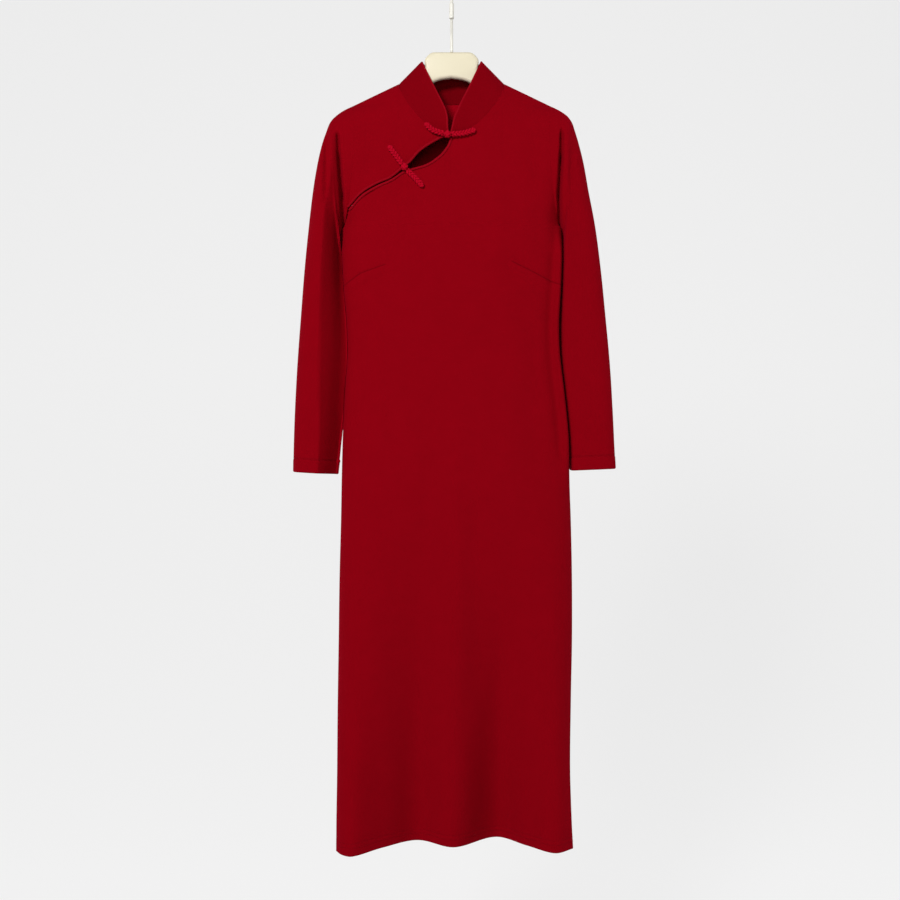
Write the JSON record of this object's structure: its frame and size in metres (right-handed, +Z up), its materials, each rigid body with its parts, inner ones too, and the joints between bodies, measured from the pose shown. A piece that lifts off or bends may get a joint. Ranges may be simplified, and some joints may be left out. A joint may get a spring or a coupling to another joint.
{
  "type": "long-sleeved qipao dress on a hanger",
  "caption": "Long-sleeved ankle-length knitted qipao robe with a standing collar, diagonal knot-buttoned front and side slits, hung on a pale board hanger.",
  "frame": {"origin": "inside top of the hanger's hook, where the rail carries it", "axes": "+Z up; the front of the dress faces -Y; the wearer's left side is +X"},
  "size_m": [0.5275, 0.1193, 1.3871],
  "materials": {
    "wool_knit": "fine stocking-stitch wool knit with a short soft nap",
    "braided_cord": "braided cord, a little brighter than the cloth",
    "ivory_plastic": "satin ivory plastic",
    "white_hook": "white coated wire"
  },
  "bodies": {
    "root": {"front": "wool_knit", "front_yoke": "wool_knit", "back": "wool_knit", "sleeve_wearer_right": "wool_knit", "sleeve_wearer_left": "wool_knit", "collar": "wool_knit", "opening_binding_upper": "wool_knit", "opening_binding_lower": "wool_knit", "neck_frog_loop_cord": "braided_cord", "neck_frog_knot_cord": "braided_cord", "neck_frog_knot": "braided_cord", "chest_frog_loop_cord": "braided_cord", "chest_frog_knot_cord": "braided_cord", "chest_frog_knot": "braided_cord", "hanger_board": "ivory_plastic", "hanger_hook": "white_hook", "hook_tip": "white_hook"}
  },
  "joints": []
}
